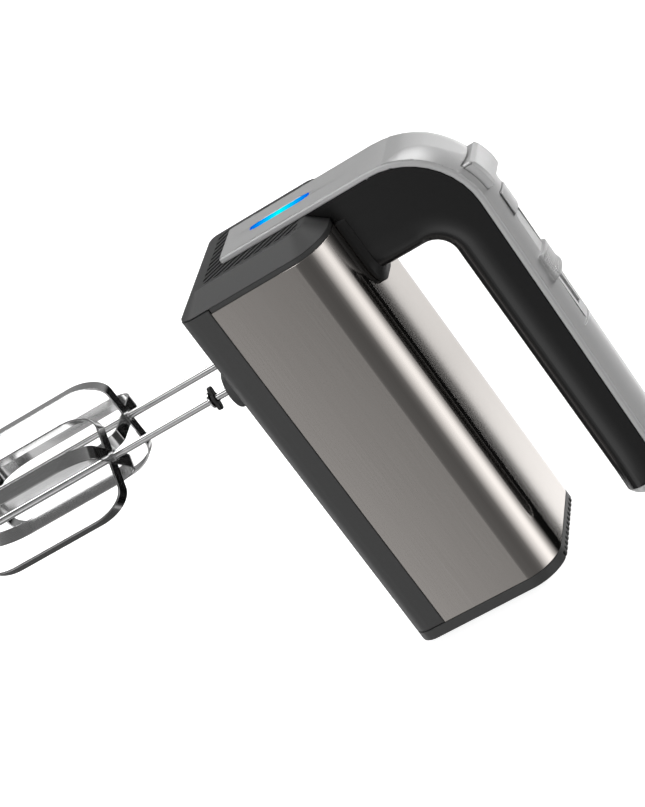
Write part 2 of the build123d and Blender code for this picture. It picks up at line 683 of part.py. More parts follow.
with BuildPart() as gearbox_plate:
    block(level(27.1), 147.2, 0, 50.6, 72, 4.0, radius=5)
    for sy in (-SPINDLE_Y, SPINDLE_Y):
        disc(level(27.1), SPINDLE_X, sy, 9.2, 7.5)
    block(level(7.5), 169.6, 0, 5.6, 13, 20)
    block(level(7.5), 123.8, 0, 5.6, 13, 20)
    for sy in (-SPINDLE_Y, SPINDLE_Y):
        disc(level(20), SPINDLE_X, sy, 6.6, 20, Mode.SUBTRACT)
    disc(cross(115), 0, MOTOR_Z, 4.6, 70, Mode.SUBTRACT)
    screw_holes(GEARBOX_SCREWS, 20, 1.5, 20)
gearbox_plate.part.label = "gearbox_plate"

with BuildPart() as shaft_bushes:
    for bush_x in (19.9, 121.1, 166.9):
        ring(cross(bush_x), 0, MOTOR_Z, 4.55, 2.55, 5.4)
shaft_bushes.part.label = "shaft_bushes"

# ================================================================ MOTOR
BOLTS = ((21.8, MOTOR_Z + 18.2), (-21.8, MOTOR_Z - 18.2))

with BuildPart() as stator_core:
    block(cross(56), 0, MOTOR_Z, 52, 46, 30, radius=7)
    block(cross(55), 0, MOTOR_Z, 40, 19, 32, Mode.SUBTRACT, 1.5)
    disc(cross(55), 0, MOTOR_Z, 14.5, 32, Mode.SUBTRACT)
    for by, bz in BOLTS:
        disc(cross(55), by, bz, 1.9, 32, Mode.SUBTRACT)
stator_core.part.label = "stator_core"


def field_coil(sign):
    """Saddle winding round one pole: two legs and two arched ends."""
    for x, length in ((49.5, 6.3), (86.2, 6.3)):
        with BuildSketch(cross(x)) as s:
            with Locations((0, MOTOR_Z + sign * 10.0)):
                RectangleRounded(39.2, 19.2, 4)
            with Locations((0, MOTOR_Z)):
                Circle(15.0, mode=Mode.SUBTRACT)
            with Locations((0, MOTOR_Z - sign * 9.6)):
                Rectangle(50, 20, mode=Mode.SUBTRACT)
        extrude(s.sketch, amount=length)
    for sy in (-17.4, 17.4):
        block(cross(52), sy, MOTOR_Z + sign * 4.9, 4.2, 8.4, 38)


with BuildPart() as field_coils:
    for pole in (1, -1):
        field_coil(pole)
field_coils.part.label = "field_coils"

SLOTS = 12
with BuildPart() as armature_core:
    ring(cross(56), 0, MOTOR_Z, 13.9, 2.52, 30)
    with BuildSketch(cross(55)) as cuts:
        with Locations((0, MOTOR_Z)):
            with PolarLocations(10.4, SLOTS):
                Circle(2.1)
            with PolarLocations(12.6, SLOTS):
                Rectangle(4.4, 1.5)
    extrude(cuts.sketch, amount=32, mode=Mode.SUBTRACT)
armature_core.part.label = "armature_core"

with BuildPart() as armature_winding:
    with BuildSketch(cross(54)) as bars:
        with Locations((0, MOTOR_Z)):
            with PolarLocations(10.4, SLOTS):
                Circle(1.95)
    extrude(bars.sketch, amount=34)
    ring(cross(49), 0, MOTOR_Z, 12.6, 5.2, 5.6)
    ring(cross(87.4), 0, MOTOR_Z, 12.6, 5.2, 5.6)
armature_winding.part.label = "armature_winding"

with BuildPart() as commutator:
    ring(cross(96), 0, MOTOR_Z, 8.2, 2.52, 12)
    ring(cross(94), 0, MOTOR_Z, 9.2, 2.52, 2)
    with BuildSketch(cross(96.5)) as grooves:
        with Locations((0, MOTOR_Z)):
            with PolarLocations(8.2, 16):
                Rectangle(1.6, 0.5)
    extrude(grooves.sketch, amount=12, mode=Mode.SUBTRACT)
commutator.part.label = "commutator"

with BuildPart() as cooling_fan:
    ring(cross(29), 0, MOTOR_Z, 6.5, 2.52, 13)
    ring(cross(40.4), 0, MOTOR_Z, 21, 2.52, 1.6)
    with BuildSketch(cross(30)) as blades:
        with Locations((0, MOTOR_Z)):
            with PolarLocations(13.2, 9):
                Rectangle(15.4, 1.5, rotation=28)
    extrude(blades.sketch, amount=11)
cooling_fan.part.label = "cooling_fan"

with BuildPart() as rear_bracket:
    block(cross(19), 0, 14.1, 52, 50, 7, radius=6)
    for sy in (-12.5, 12.5):
        for sz in (1, 31):
            block(cross(18), sy, sz, 12, 12, 10, Mode.SUBTRACT, 3)
    disc(cross(18), 0, MOTOR_Z, 4.6, 10, Mode.SUBTRACT)
    for by, bz in BOLTS:
        disc(cross(18), by, bz, 1.9, 10, Mode.SUBTRACT)
rear_bracket.part.label = "rear_bracket"

with BuildPart() as brush_bracket:
    block(cross(110.2), 0, 14.1, 52, 50, 3.6, radius=6)
    for sz in (-3, 33):
        block(cross(109), 0, sz, 26, 8, 10, Mode.SUBTRACT, 3)
    disc(cross(109), 0, MOTOR_Z, 6.0, 10, Mode.SUBTRACT)
    for by, bz in BOLTS:
        disc(cross(109), by, bz, 1.9, 10, Mode.SUBTRACT)
brush_bracket.part.label = "brush_bracket"


def brush_holder(s):
    """Square brass guide with a flange against the bracket."""
    block(cross(98), s * 18.6, MOTOR_Z, 15.6, 7.6, 8.4)
    block(cross(106), s * 15, MOTOR_Z, 6.4, 9.5, 4.1)
    block(cross(99.1), s * 18.0, MOTOR_Z, 14.9, 5.4, 6.2, Mode.SUBTRACT)


def brush(s):
    block(cross(99.2), s * 13.7, MOTOR_Z, 10.8, 5.2, 6.0)


def brush_spring(s):
    with BuildSketch(cross(99.8)) as z:
        for k in range(4):
            with Locations((s * (19.8 + 1.45 * k), MOTOR_Z)):
                Rectangle(0.7, 4.4)
        for k in range(3):
            up = 1.85 if k % 2 else -1.85
            with Locations((s * (20.52 + 1.45 * k), MOTOR_Z + up)):
                Rectangle(1.6, 0.7)
    extrude(z.sketch, amount=4.8)


with BuildPart() as brush_holders:
    for hand in (1, -1):
        brush_holder(hand)
brush_holders.part.label = "brush_holders"
with BuildPart() as carbon_brushes:
    for hand in (1, -1):
        brush(hand)
carbon_brushes.part.label = "carbon_brushes"
with BuildPart() as brush_springs:
    for hand in (1, -1):
        brush_spring(hand)
brush_springs.part.label = "brush_springs"

# ================================================================ WIRING AND SCREWS
with BuildPart() as mains_lead:
    run([(12, 0, 115.6), (32, 3, 115.6), (58, -3, 116.4), (89.6, 0, 117.0)], 1.5, 6)
mains_lead.part.label = "mains_lead"


def motor_lead(s):
    run([(150, s * 8.5, 110.6), (163, s * 9, 106), (181, s * 8, 94), (181, s * 5, 82),
         (181, s * 5, 55), (128, s * 5.8, 54), (104, s * 14, 44), (102, s * 14, 21.6)],
        1.25, 4)


with BuildPart() as motor_leads:
    for hand in (1, -1):
        motor_lead(hand)
motor_leads.part.label = "motor_leads"

with BuildPart() as base_screws:
    for px, py in CASE_SCREWS:
        screw(level(-15.0), px, py, 3.1, 2.9, 1.45, 22)
base_screws.part.label = "base_screws"

with BuildPart() as neck_screws:
    for px, py in HIND_NECK_SCREWS:
        screw(level(52.0), px, py, 3.1, 2.9, 1.45, 19.5)
    for px, py in FORE_NECK_SCREWS:
        screw(level(58.2), px, py, 3.1, 2.8, 1.45, 13)
neck_screws.part.label = "neck_screws"

DOWN = Plane(origin=place(0, 0, 33.7), x_dir=(0, 0, 1), z_dir=(-1, 0, 0))
with BuildPart() as gearbox_screws:
    for px, py in GEARBOX_SCREWS:
        screw(DOWN, px, py, 2.8, 2.5, 1.25, 20)
gearbox_screws.part.label = "gearbox_screws"

with BuildPart() as motor_bolts:
    for by, bz in BOLTS:
        screw(cross(16.0), by, bz, 2.9, 2.9, 1.75, 95.5)
motor_bolts.part.label = "motor_bolts"

with BuildPart() as strip_screws:
    for by, bz in STRIP_SCREWS:
        screw(cross(194.3), by, bz, 2.4, 2.9, 1.15, 3.9)
strip_screws.part.label = "strip_screws"

# ================================================================ BEATERS
def loop_outline(r, top, bottom):
    """Closed side outline of one beater loop."""
    rx = r - 15.5
    rz = 18.5 - (BEATER_R - r)
    top_c = top - rz
    low_c = bottom + rz
    with BuildLine() as edge:
        Line((-15.5, top), (15.5, top))
        EllipticalCenterArc((15.5, top_c), rx, rz, 0, arc_size=90)
        Line((r, top_c), (r, low_c))
        EllipticalCenterArc((15.5, low_c), rx, rz, 270, arc_size=90)
        Line((15.5, bottom), (-15.5, bottom))
        EllipticalCenterArc((-15.5, low_c), rx, rz, 180, arc_size=90)
        Line((-r, low_c), (-r, top_c))
        EllipticalCenterArc((-15.5, top_c), rx, rz, 90, arc_size=90)
    return edge.edges()


def beater_loop(sy, angle, top, bottom):
    """Flat steel band bent into a closed loop and pierced for the shaft."""
    a = radians(angle)
    plane = Plane(origin=place(SPINDLE_X, sy, 0), x_dir=(0, sin(a), -cos(a)),
                  z_dir=(0, -cos(a), -sin(a)))
    with BuildSketch(plane) as outer:
        make_face(loop_outline(BEATER_R, top, bottom))
    with BuildSketch(plane) as inner:
        make_face(loop_outline(BEATER_R - BAND_T, top - BAND_T, bottom + BAND_T))
    extrude(outer.sketch, amount=BAND_W / 2, both=True)
    extrude(inner.sketch, amount=BAND_W, both=True, mode=Mode.SUBTRACT)
    disc(level(bottom - 5), SPINDLE_X, sy, SHAFT_R + 0.03, top - bottom + 10, Mode.SUBTRACT)


def beater_shaft(sy):
    """Round shaft with two drive lugs and a collar above the cage."""
    disc(level(CAGE_BOTTOM - 1.6), SPINDLE_X, sy, SHAFT_R, 9.9 - CAGE_BOTTOM + 1.6)
    disc(level(CAGE_TOP + 0.05), SPINDLE_X, sy, 2.7, 1.2)
    disc(level(CAGE_BOTTOM - 1.7), SPINDLE_X, sy, 2.7, 1.65)
    block(level(-18.6), SPINDLE_X, sy, 7.8, 1.4, 4.2)


with BuildPart() as beater_shaft_left:
    beater_shaft(SPINDLE_Y)
beater_shaft_left.part.label = "beater_shaft_left"
with BuildPart() as beater_shaft_right:
    beater_shaft(-SPINDLE_Y)
beater_shaft_right.part.label = "beater_shaft_right"

with BuildPart() as beater_outer_loop_left:
    beater_loop(SPINDLE_Y, LEFT_ANGLE, CAGE_TOP, CAGE_BOTTOM)
beater_outer_loop_left.part.label = "beater_outer_loop_left"
with BuildPart() as beater_inner_loop_left:
    beater_loop(SPINDLE_Y, LEFT_ANGLE + 90, CAGE_TOP - 1.1, CAGE_BOTTOM + 1.1)
beater_inner_loop_left.part.label = "beater_inner_loop_left"
with BuildPart() as beater_outer_loop_right:
    beater_loop(-SPINDLE_Y, RIGHT_ANGLE, CAGE_TOP, CAGE_BOTTOM)
beater_outer_loop_right.part.label = "beater_outer_loop_right"
with BuildPart() as beater_inner_loop_right:
    beater_loop(-SPINDLE_Y, RIGHT_ANGLE + 90, CAGE_TOP - 1.1, CAGE_BOTTOM + 1.1)
beater_inner_loop_right.part.label = "beater_inner_loop_right"

with BuildPart() as beater_collar_left:
    ring(level(-35.3), SPINDLE_X, SPINDLE_Y, 4.1, SHAFT_R + 0.02, 1.0)
beater_collar_left.part.label = "beater_collar_left"
with BuildPart() as beater_wing_left:
    with BuildSketch(level(-34.2)) as wing:
        with Locations((SPINDLE_X, SPINDLE_Y)):
            SlotOverall(12.2, 3.6, rotation=-16)
            Circle(3.0)
            Circle(SHAFT_R + 0.02, mode=Mode.SUBTRACT)
    extrude(wing.sketch, amount=2.2)
beater_wing_left.part.label = "beater_wing_left"

# ================================================================ OUTPUT
export_step(steel_wrap.part, "parts/steel_wrap.step")
export_step(upper_housing.part, "parts/upper_housing.step")
export_step(base_housing.part, "parts/base_housing.step")
export_step(front_cap.part, "parts/front_cap.step")
export_step(rear_cap.part, "parts/rear_cap.step")
export_step(heel_feet.part, "parts/heel_feet.step")
export_step(handle_grip.part, "parts/handle_grip.step")
export_step(neck_gasket.part, "parts/neck_gasket.step")
export_step(handle_top_cover.part, "parts/handle_top_cover.step")
export_step(handle_end_cap.part, "parts/handle_end_cap.step")
export_step(cord_gland.part, "parts/cord_gland.step")
export_step(led_light_bar.part, "parts/led_light_bar.step")
export_step(led_board.part, "parts/led_board.step")
export_step(eject_button.part, "parts/eject_button.step")
export_step(ejector_rod.part, "parts/ejector_rod.step")
export_step(eject_spring.part, "parts/eject_spring.step")
export_step(ejector_yoke.part, "parts/ejector_yoke.step")
export_step(turbo_button.part, "parts/turbo_button.step")
export_step(turbo_spring.part, "parts/turbo_spring.step")
export_step(turbo_switch.part, "parts/turbo_switch.step")
export_step(speed_slider.part, "parts/speed_slider.step")
export_step(slider_track.part, "parts/slider_track.step")
export_step(speed_switch.part, "parts/speed_switch.step")
export_step(control_board.part, "parts/control_board.step")
export_step(gear_left.part, "parts/gear_left.step")
export_step(gear_right.part, "parts/gear_right.step")
export_step(armature_shaft.part, "parts/armature_shaft.step")
export_step(spindle_left.part, "parts/spindle_left.step")
export_step(spindle_right.part, "parts/spindle_right.step")
export_step(ejector_pin_left.part, "parts/ejector_pin_left.step")
export_step(ejector_pin_right.part, "parts/ejector_pin_right.step")
export_step(spindle_bushes.part, "parts/spindle_bushes.step")
export_step(gearbox_plate.part, "parts/gearbox_plate.step")
export_step(shaft_bushes.part, "parts/shaft_bushes.step")
export_step(stator_core.part, "parts/stator_core.step")
export_step(field_coils.part, "parts/field_coils.step")
export_step(armature_core.part, "parts/armature_core.step")
export_step(armature_winding.part, "parts/armature_winding.step")
export_step(commutator.part, "parts/commutator.step")
export_step(cooling_fan.part, "parts/cooling_fan.step")
export_step(rear_bracket.part, "parts/rear_bracket.step")
export_step(brush_bracket.part, "parts/brush_bracket.step")
export_step(brush_holders.part, "parts/brush_holders.step")
export_step(carbon_brushes.part, "parts/carbon_brushes.step")
export_step(brush_springs.part, "parts/brush_springs.step")
export_step(mains_lead.part, "parts/mains_lead.step")
export_step(motor_leads.part, "parts/motor_leads.step")
export_step(base_screws.part, "parts/base_screws.step")
export_step(neck_screws.part, "parts/neck_screws.step")
export_step(gearbox_screws.part, "parts/gearbox_screws.step")
export_step(motor_bolts.part, "parts/motor_bolts.step")
export_step(strip_screws.part, "parts/strip_screws.step")
export_step(beater_shaft_left.part, "parts/beater_shaft_left.step")
export_step(beater_shaft_right.part, "parts/beater_shaft_right.step")
export_step(beater_outer_loop_left.part, "parts/beater_outer_loop_left.step")
export_step(beater_inner_loop_left.part, "parts/beater_inner_loop_left.step")
export_step(beater_outer_loop_right.part, "parts/beater_outer_loop_right.step")
export_step(beater_inner_loop_right.part, "parts/beater_inner_loop_right.step")
export_step(beater_collar_left.part, "parts/beater_collar_left.step")
export_step(beater_wing_left.part, "parts/beater_wing_left.step")
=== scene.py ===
import json
import math

import bmesh
import bpy
from mathutils import Matrix, Vector

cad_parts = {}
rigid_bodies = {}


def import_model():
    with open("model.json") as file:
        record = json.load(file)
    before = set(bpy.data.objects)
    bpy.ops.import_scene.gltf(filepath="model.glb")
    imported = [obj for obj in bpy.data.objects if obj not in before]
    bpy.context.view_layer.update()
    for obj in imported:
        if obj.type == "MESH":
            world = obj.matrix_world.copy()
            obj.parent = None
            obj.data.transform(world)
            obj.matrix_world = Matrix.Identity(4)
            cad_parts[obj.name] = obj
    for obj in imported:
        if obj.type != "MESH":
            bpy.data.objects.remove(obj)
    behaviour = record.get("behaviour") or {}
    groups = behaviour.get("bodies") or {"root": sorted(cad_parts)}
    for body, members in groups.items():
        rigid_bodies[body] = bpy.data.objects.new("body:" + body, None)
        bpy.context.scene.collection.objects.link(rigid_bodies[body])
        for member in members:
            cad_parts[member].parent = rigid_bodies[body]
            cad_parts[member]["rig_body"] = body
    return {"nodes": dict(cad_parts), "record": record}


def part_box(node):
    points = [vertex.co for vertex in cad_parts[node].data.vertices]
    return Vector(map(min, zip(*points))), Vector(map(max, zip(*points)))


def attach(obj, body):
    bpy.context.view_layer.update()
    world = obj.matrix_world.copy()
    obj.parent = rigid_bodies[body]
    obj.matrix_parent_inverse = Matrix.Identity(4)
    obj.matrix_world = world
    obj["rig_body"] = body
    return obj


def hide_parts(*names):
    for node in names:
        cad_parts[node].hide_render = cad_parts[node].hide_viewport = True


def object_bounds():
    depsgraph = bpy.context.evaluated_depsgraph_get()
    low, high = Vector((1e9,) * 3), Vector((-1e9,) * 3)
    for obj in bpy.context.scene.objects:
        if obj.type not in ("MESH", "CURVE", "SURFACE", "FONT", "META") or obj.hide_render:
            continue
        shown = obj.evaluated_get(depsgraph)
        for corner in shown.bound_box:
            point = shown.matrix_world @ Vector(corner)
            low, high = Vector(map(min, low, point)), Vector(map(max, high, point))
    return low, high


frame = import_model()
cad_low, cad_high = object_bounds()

scene = bpy.context.scene
MM = 0.001
WELD = 0.002 * MM

# ------------------------------------------------------------------ the mixer's own axes
skin_low, skin_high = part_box("steel_wrap")
mid_y = (skin_low.y + skin_high.y) / 2


def at(x, y, z):
    """Point given as length from the skin's rear edge, side (left positive) and height, in mm."""
    return Vector((skin_low.x + z * MM, mid_y - y * MM, skin_low.z + x * MM))


def place_of(p):
    """Length, side and height in mm of a point of the frame."""
    return (p.z - skin_low.z) / MM, (mid_y - p.y) / MM, (p.x - skin_low.x) / MM


# Handle curve, read from the nodes: crease line, bend and crown.
cover_low, cover_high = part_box("handle_top_cover")
STRIP_FACE = place_of(cover_high)[0]
HALF = (cover_high.y - cover_low.y) / 2 / MM
BEND_R = 39.3
BEND_X = STRIP_FACE - BEND_R
BEND_Z = 89.3
SLOPE = 0.0142          # drop of the straight handle per length towards its rear end
CROWN = 4.5


def crease_height(x):
    """Height of the straight handle's crease above the skin's foot."""
    return BEND_Z + BEND_R - (BEND_X - x) * SLOPE


def arched(y, rise):
    """Height of a crown of that rise at a point off its middle."""
    radius = (HALF ** 2 + rise ** 2) / (2 * rise)
    return math.sqrt(max(0.0, radius ** 2 - y * y)) - radius + rise


def between(value, stops):
    """Straight-line reading from (position, value) stops."""
    if value <= stops[0][0]:
        return stops[0][1]
    for (a, u), (b, v) in zip(stops, stops[1:]):
        if value <= b:
            return u + (v - u) * (value - a) / (b - a)
    return stops[-1][1]


# ------------------------------------------------------------------ materials
def node_material(name):
    """Empty node material with one Principled shader."""
    m = bpy.data.materials.new(name)
    m.use_nodes = True
    m.node_tree.nodes.clear()
    out = m.node_tree.nodes.new("ShaderNodeOutputMaterial")
    shader = m.node_tree.nodes.new("ShaderNodeBsdfPrincipled")
    m.node_tree.links.new(shader.outputs[0], out.inputs[0])
    return m, m.node_tree, shader


def grain(tree, scale, detail=4.0, stretch=(1, 1, 1)):
    """Noise in the piece's own coordinates, stretched along the frame's axes."""
    coord = tree.nodes.new("ShaderNodeTexCoord")
    mapping = tree.nodes.new("ShaderNodeMapping")
    mapping.inputs["Scale"].default_value = stretch
    noise = tree.nodes.new("ShaderNodeTexNoise")
    noise.inputs["Scale"].default_value = scale
    noise.inputs["Detail"].default_value = detail
    noise.inputs["Roughness"].default_value = 0.55
    tree.links.new(coord.outputs["Object"], mapping.inputs["Vector"])
    tree.links.new(mapping.outputs[0], noise.inputs["Vector"])
    return noise.outputs[0]


def ramp(tree, value, stops):
    """Colour ramp with (position, colour) stops."""
    node = tree.nodes.new("ShaderNodeValToRGB")
    elements = node.color_ramp.elements
    while len(elements) < len(stops):
        elements.new(0.5)
    for element, (position, colour) in zip(elements, stops):
        element.position = position
        element.color = (*colour, 1.0)
    tree.links.new(value, node.inputs[0])
    return node.outputs[0]


def spread(tree, value, low, high):
    """Noise mapped to low..high."""
    node = tree.nodes.new("ShaderNodeMapRange")
    node.inputs["From Min"].default_value = 0.25
    node.inputs["From Max"].default_value = 0.75
    node.inputs["To Min"].default_value = low
    node.inputs["To Max"].default_value = high
    tree.links.new(value, node.inputs["Value"])
    return node.outputs[0]


def bump(tree, shader, height, strength, distance):
    """Fine relief from a height value."""
    node = tree.nodes.new("ShaderNodeBump")
    node.inputs["Strength"].default_value = strength
    node.inputs["Distance"].default_value = distance
    tree.links.new(height, node.inputs["Height"])
    tree.links.new(node.outputs[0], shader.inputs["Normal"])


def surface(name, dark, light, rough, metallic=0.0, scale=900.0, stretch=(1, 1, 1),
            strength=0.15, distance=0.00005):
    """A finish whose colour, gloss and relief all follow one grain."""
    m, tree, shader = node_material(name)
    noise = grain(tree, scale, 5.0, stretch)
    tree.links.new(ramp(tree, noise, [(0.25, dark), (0.75, light)]),
                   shader.inputs["Base Color"])
    tree.links.new(spread(tree, noise, rough[0], rough[1]), shader.inputs["Roughness"])
    shader.inputs["Metallic"].default_value = metallic
    shader.inputs["IOR"].default_value = 1.5
    bump(tree, shader, noise, strength, distance)
    return m


def grey(v):
    return (v, v, v)


ALONG = (1, 1, 0.006)    # streaks run from rear to nose

steel = surface("brushed_skin", (0.648, 0.607, 0.574), (0.688, 0.648, 0.615), (0.10, 0.14),
                metallic=1.0, scale=2600, stretch=ALONG, strength=0.03, distance=0.00001)
plastic = surface("body_plastic", grey(0.036), grey(0.044), (0.44, 0.52), scale=2200,
                  strength=0.12, distance=0.00003)
# Dark inner plastic: the inner parts' own finish, and also laid on recess and slot faces of other
# pieces as painted shade.
inner_plastic_and_painted_shade = surface("inner_plastic", grey(0.006), grey(0.010), (0.45, 0.6), scale=1500)
silver = surface("silver_cover", grey(0.52), grey(0.62), (0.33, 0.40), metallic=0.55,
                 scale=5200, strength=0.08, distance=0.00002)
black = surface("black_grip", grey(0.0060), grey(0.0085), (0.20, 0.25), scale=1800,
                strength=0.06, distance=0.00002)
rubber = surface("rubber_trim", grey(0.008), grey(0.014), (0.5, 0.62), scale=1600)
chrome = surface("beater_steel", grey(0.60), grey(0.68), (0.13, 0.19), metallic=1.0,
                 scale=2400, stretch=(0.05, 1, 1), strength=0.04, distance=0.000005)
wing_black = surface("black_wing", grey(0.010), grey(0.016), (0.35, 0.5), scale=1700)
nylon = surface("gear_nylon", (0.66, 0.64, 0.56), (0.74, 0.72, 0.65), (0.42, 0.55),
                scale=700)
turned = surface("bright_steel", grey(0.50), grey(0.60), (0.18, 0.3), metallic=1.0,
                 scale=1400, stretch=(1, 1, 0.2))
bronze = surface("bronze", (0.50, 0.33, 0.14), (0.62, 0.43, 0.21), (0.3, 0.5),
                 metallic=1.0, scale=2600)
iron = surface("lamination", grey(0.16), grey(0.26), (0.4, 0.6), metallic=0.8,
               scale=1700, stretch=(0.02, 0.02, 1))
copper = surface("copper_wire", (0.42, 0.16, 0.07), (0.66, 0.30, 0.14), (0.22, 0.36),
                 metallic=1.0, scale=1900, stretch=(1, 1, 0.05))
carbon = surface("carbon", grey(0.018), grey(0.034), (0.5, 0.7), scale=3000)
sleeve = surface("wire_jacket", (0.26, 0.012, 0.010), (0.33, 0.020, 0.016), (0.35, 0.5),
                 scale=900)
board = surface("circuit_board", (0.010, 0.12, 0.045), (0.020, 0.20, 0.080),
                (0.25, 0.4), scale=380)


LIGHT_FOOT, LIGHT_HEAD = 23.4, 56.6


def light_material():
    """Glowing bar, blue at its ends and cyan in the middle."""
    m, tree, shader = node_material("light_lens")
    coord = tree.nodes.new("ShaderNodeTexCoord")
    split = tree.nodes.new("ShaderNodeSeparateXYZ")
    tree.links.new(coord.outputs["Object"], split.inputs[0])
    along = tree.nodes.new("ShaderNodeMapRange")
    along.inputs["From Min"].default_value = at(0, 0, LIGHT_FOOT).x
    along.inputs["From Max"].default_value = at(0, 0, LIGHT_HEAD).x
    tree.links.new(split.outputs["X"], along.inputs["Value"])
    glow = ramp(tree, along.outputs[0], [
        (0.0, (0.0, 0.10, 0.75)), (0.22, (0.0, 0.36, 0.98)), (0.5, (0.0, 0.98, 1.0)),
        (0.78, (0.0, 0.40, 0.98)), (1.0, (0.0, 0.12, 0.85))])
    deep = ramp(tree, grain(tree, 900), [(0.3, (0.0, 0.001, 0.004)), (0.7, (0.0, 0.002, 0.006))])
    tree.links.new(glow, shader.inputs["Emission Color"])
    tree.links.new(deep, shader.inputs["Base Color"])
    shader.inputs["Emission Strength"].default_value = 1.0
    shader.inputs["Roughness"].default_value = 0.6
    shader.inputs["Specular IOR Level"].default_value = 0.0
    return m


BY_SLOT = {
    "brushed_skin": steel, "body_plastic": plastic, "inner_plastic": inner_plastic_and_painted_shade,
    "silver_cover": silver, "black_grip": black, "rubber_trim": rubber,
    "light_lens": light_material(), "circuit_board": board, "beater_steel": chrome,
    "black_wing": wing_black, "gear_nylon": nylon, "bright_steel": turned,
    "bronze": bronze, "lamination": iron, "copper_wire": copper, "carbon": carbon,
    "wire_jacket": sleeve,
}
slot_of = {s["node"]: s["material_slot"] for s in frame["record"]["subparts"]}
for name, node in frame["nodes"].items():
    node.data.materials.clear()
    node.data.materials.append(BY_SLOT[slot_of[name]])


# ------------------------------------------------------------------ pieces
SHARP = 30.0             # degrees: edges sharper than this can be rounded
FLAT = 0.5               # degrees: faces flatter than this are merged


def smooth(mesh, angle):
    for polygon in mesh.polygons:
        polygon.use_smooth = True
    mesh.set_sharp_from_angle(angle=math.radians(angle))


def finish_edges(piece, width, segments):
    """Rounds the weighted edges and evens the shading."""
    if width > 0:
        bevel = piece.modifiers.new("edges", "BEVEL")
        bevel.limit_method = "WEIGHT"
        bevel.width = width * MM
        bevel.segments = segments
        bevel.use_clamp_overlap = False
        bevel.miter_outer = "MITER_ARC"
    even = piece.modifiers.new("shading", "WEIGHTED_NORMAL")
    even.keep_sharp = True
    even.weight = 80


def weigh_edges(bm, angle, weight):
    """Bevel weights on the sharp edges, from a rule on where each edge is."""
    layer = bm.edges.layers.float.new("bevel_weight_edge")
    for edge in bm.edges:
        if len(edge.link_faces) == 2 and edge.calc_face_angle(0.0) > math.radians(angle):
            middle = (edge.verts[0].co + edge.verts[1].co) / 2
            edge[layer] = weight(*place_of(middle)) if weight else 1.0


def slice_up(bm, along, positions):
    """Cuts a mesh across one of the mixer's axes: 0 length, 1 side, 2 height."""
    normal = (Vector((0, 0, 1)), Vector((0, 1, 0)), Vector((1, 0, 0)))[along]
    for position in positions:
        point = [0.0, 0.0, 0.0]
        point[along] = position
        bmesh.ops.bisect_plane(bm, geom=bm.verts[:] + bm.edges[:] + bm.faces[:],
                               plane_co=at(*point), plane_no=normal, dist=WELD)


def steps(start, stop, step):
    """Even positions from start up to stop."""
    return [start + step * k for k in range(int((stop - start) / step) + 1)]


def put(node, mesh, width, segments, angle):
    """Links a finished mesh in a CAD node's place."""
    if "custom_normal" in mesh.attributes:
        mesh.attributes.remove(mesh.attributes["custom_normal"])
    piece = bpy.data.objects.new(node + "_finished", mesh)
    scene.collection.objects.link(piece)
    smooth(mesh, angle)
    finish_edges(piece, width, segments)
    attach(piece, frame["nodes"][node]["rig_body"])
    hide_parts(node)


def refined(node, width, segments=2, weight=None, cut=None, move=None, painted_shade=None,
            kept=None):
    """New piece in a CAD node's place: faces merged, shape tuned, edges rounded.

    The rules take a place in the mixer's axes: kept says where faces aren't merged,
    move gives the new place, weight the share of rounding, and the shade rule picks the
    faces painted dark as shade in recesses and slots.
    """
    bm = bmesh.new()
    bm.from_mesh(frame["nodes"][node].data)
    bmesh.ops.remove_doubles(bm, verts=bm.verts, dist=WELD)
    merged = [v for v in bm.verts if not (kept and kept(*place_of(v.co)))]
    joins = [e for e in bm.edges if not all(kept and kept(*place_of(v.co)) for v in e.verts)]
    bmesh.ops.dissolve_limit(bm, angle_limit=math.radians(FLAT), use_dissolve_boundaries=False,
                             verts=merged, edges=joins)
    if cut:
        cut(bm)
    if move:
        for vert in bm.verts:
            vert.co = at(*move(*place_of(vert.co)))
    weigh_edges(bm, SHARP, weight)
    # Painted shade: faces that the shade rule picks take the second, dark material slot.
    if painted_shade:
        for face in bm.faces:
            face.material_index = int(painted_shade(*place_of(face.calc_center_median())))
    mesh = bpy.data.meshes.new(node + "_finished")
    bm.to_mesh(mesh)
    bm.free()
    mesh.materials.clear()
    mesh.materials.append(BY_SLOT[slot_of[node]])
    # Second slot: the dark plastic that carries the painted shade.
    if painted_shade:
        mesh.materials.append(inner_plastic_and_painted_shade)
    put(node, mesh, width, segments, SHARP)


# Front cap: only the outlines are rounded, not the fine vent bars.
CAP_REAR = 192.6         # where the cap meets the skin
CAP_PLATE = 199.2        # just behind the cap's front face
VENT_REAR, VENT_HALF, VENT_LOW, VENT_HIGH = 194.0, 27.0, -2.0, 52.0
KEPT_REAR, KEPT_FOOT = 190.0, -8.0    # faces beyond here are left unmerged
LEDGE_SIDE = 38.5        # side of the small step in the rim


def near_vents(y, z, margin):
    return abs(y) < VENT_HALF + margin and VENT_LOW - margin < z < VENT_HIGH + margin


def cap_weight(x, y, z):
    vents = near_vents(y, z, 1.0) and x > VENT_REAR
    ledge = abs(abs(y) - LEDGE_SIDE) < 0.06 and x < CAP_REAR + 0.4
    return 0.0 if vents or ledge or x < CAP_REAR - 0.3 else 1.0


def cap_kept(x, y, z):
    return x > KEPT_REAR and abs(y) < VENT_HALF + 4 and KEPT_FOOT < z < VENT_HIGH + 4


# Painted shade: the groove where the cap meets the skin and the vent slots' walls get dark
# plastic in place of the shade inside them.
def cap_painted_shade(x, y, z):
    return x < CAP_REAR + 0.02 or (x < CAP_PLATE and near_vents(y, z, 0.6))


